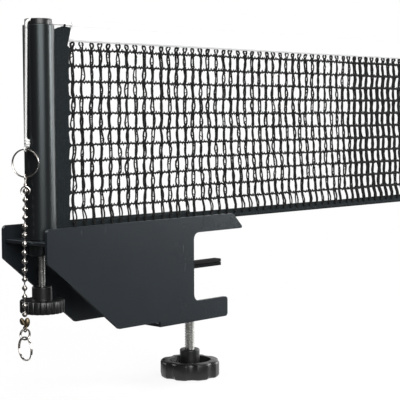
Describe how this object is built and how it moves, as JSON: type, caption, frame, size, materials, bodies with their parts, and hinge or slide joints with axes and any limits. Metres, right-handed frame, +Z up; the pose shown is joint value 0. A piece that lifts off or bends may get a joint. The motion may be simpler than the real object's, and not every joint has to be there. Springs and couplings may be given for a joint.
{
  "type": "table tennis net clamp",
  "caption": "Screw-on table tennis net clamp with a height-adjustable post, its end of the net, and the tension cord's tail with ball chain and rings",
  "frame": {"origin": "on the clamp screw's axis, in the plane of the table's top, under the upper jaw's rubber", "axes": "+X along the net towards the middle of the table, +Y across the clamp away from the viewer, +Z up"},
  "size_m": [0.4518, 0.05, 0.2671],
  "materials": {
    "dark_powder_coat": "satin dark blue-grey powder coat",
    "black_powder_coat": "satin black powder coat",
    "zinc_plated_steel": "zinc-plated steel",
    "black_plastic": "satin moulded black plastic",
    "black_rubber": "matte black rubber",
    "black_net_yarn": "knitted black polyester yarn",
    "black_webbing": "woven black webbing",
    "white_tape": "woven white cotton tape",
    "white_cord": "braided white cord",
    "nickel_plate": "nickel-plated steel",
    "worn_brass": "worn brass"
  },
  "bodies": {
    "bracket": {"bracket_body": "dark_powder_coat", "post_cross_plate": "dark_powder_coat", "height_bush": "black_powder_coat", "upper_jaw_plate": "dark_powder_coat", "upper_jaw_pad": "black_rubber", "clamp_nut": "zinc_plated_steel", "guide_post": "zinc_plated_steel"},
    "foot": {"swivel_foot": "zinc_plated_steel"},
    "pressure_bar": {"pressure_plate": "black_powder_coat", "pressure_pad": "black_rubber"},
    "clamp_spindle": {"clamp_screw": "zinc_plated_steel", "clamp_knob": "black_plastic"},
    "post": {"post_tube": "black_powder_coat", "post_plug": "black_plastic", "post_cap": "black_plastic", "net_end_rod": "black_plastic", "net_end_band": "black_webbing", "net_mesh": "black_net_yarn", "net_top_tape": "white_tape", "net_bottom_hem": "black_webbing", "tension_cord": "white_cord", "net_bottom_cord": "white_cord"},
    "height_spindle": {"height_screw": "zinc_plated_steel", "height_knob": "black_plastic"},
    "tail": {"cord_tail": "white_cord", "cord_knot": "white_cord", "upper_split_ring": "nickel_plate"},
    "chain": {"chain_hook": "nickel_plate", "ball_chain": "nickel_plate", "chain_clasp": "worn_brass", "clasp_ring": "nickel_plate"},
    "finger_ring": {"lower_split_ring": "nickel_plate"}
  },
  "joints": [
    {"name": "pad_lift", "type": "slide", "parent": "bracket", "child": "foot", "axis": [0, 0, 1], "range_m": [-0.02, 0.0245]},
    {"name": "clamp_knob_turn", "type": "hinge", "parent": "foot", "child": "clamp_spindle", "pos_m": [0, 0, -0.0326], "axis": [0, 0, 1], "range_deg": [-5760, 7056]},
    {"name": "pad_swivel", "type": "hinge", "parent": "foot", "child": "pressure_bar", "pos_m": [0, 0, -0.0305], "axis": [0, 0, 1], "range_deg": [-34, 34]},
    {"name": "post_lift", "type": "slide", "parent": "bracket", "child": "post", "axis": [0, 0, 1], "range_m": [0, 0.012]},
    {"name": "height_knob_turn", "type": "hinge", "parent": "post", "child": "height_spindle", "pos_m": [-0.144, 0, -0.0384], "axis": [0, 0, 1], "range_deg": [0, 5400]},
    {"name": "cord_tail_swing", "type": "hinge", "parent": "post", "child": "tail", "pos_m": [-0.15661, -0.0018, 0.1463], "axis": [0, 1, 0], "range_deg": [0, 60]},
    {"name": "chain_swing", "type": "hinge", "parent": "tail", "child": "chain", "pos_m": [-0.1582, -0.0019, 0.0464], "axis": [-0.5, 0.866, 0], "range_deg": [0, 60]},
    {"name": "lower_ring_swing", "type": "hinge", "parent": "chain", "child": "finger_ring", "pos_m": [-0.1617, -0.0033, -0.06357], "axis": [-0.9925, 0.1219, 0], "range_deg": [-40, 40]}
  ],
  "couplings": [
    {"joint": "clamp_knob_turn", "follows": "pad_lift", "rad_per_m": 5026.5},
    {"joint": "height_knob_turn", "follows": "post_lift", "rad_per_m": 7854}
  ]
}
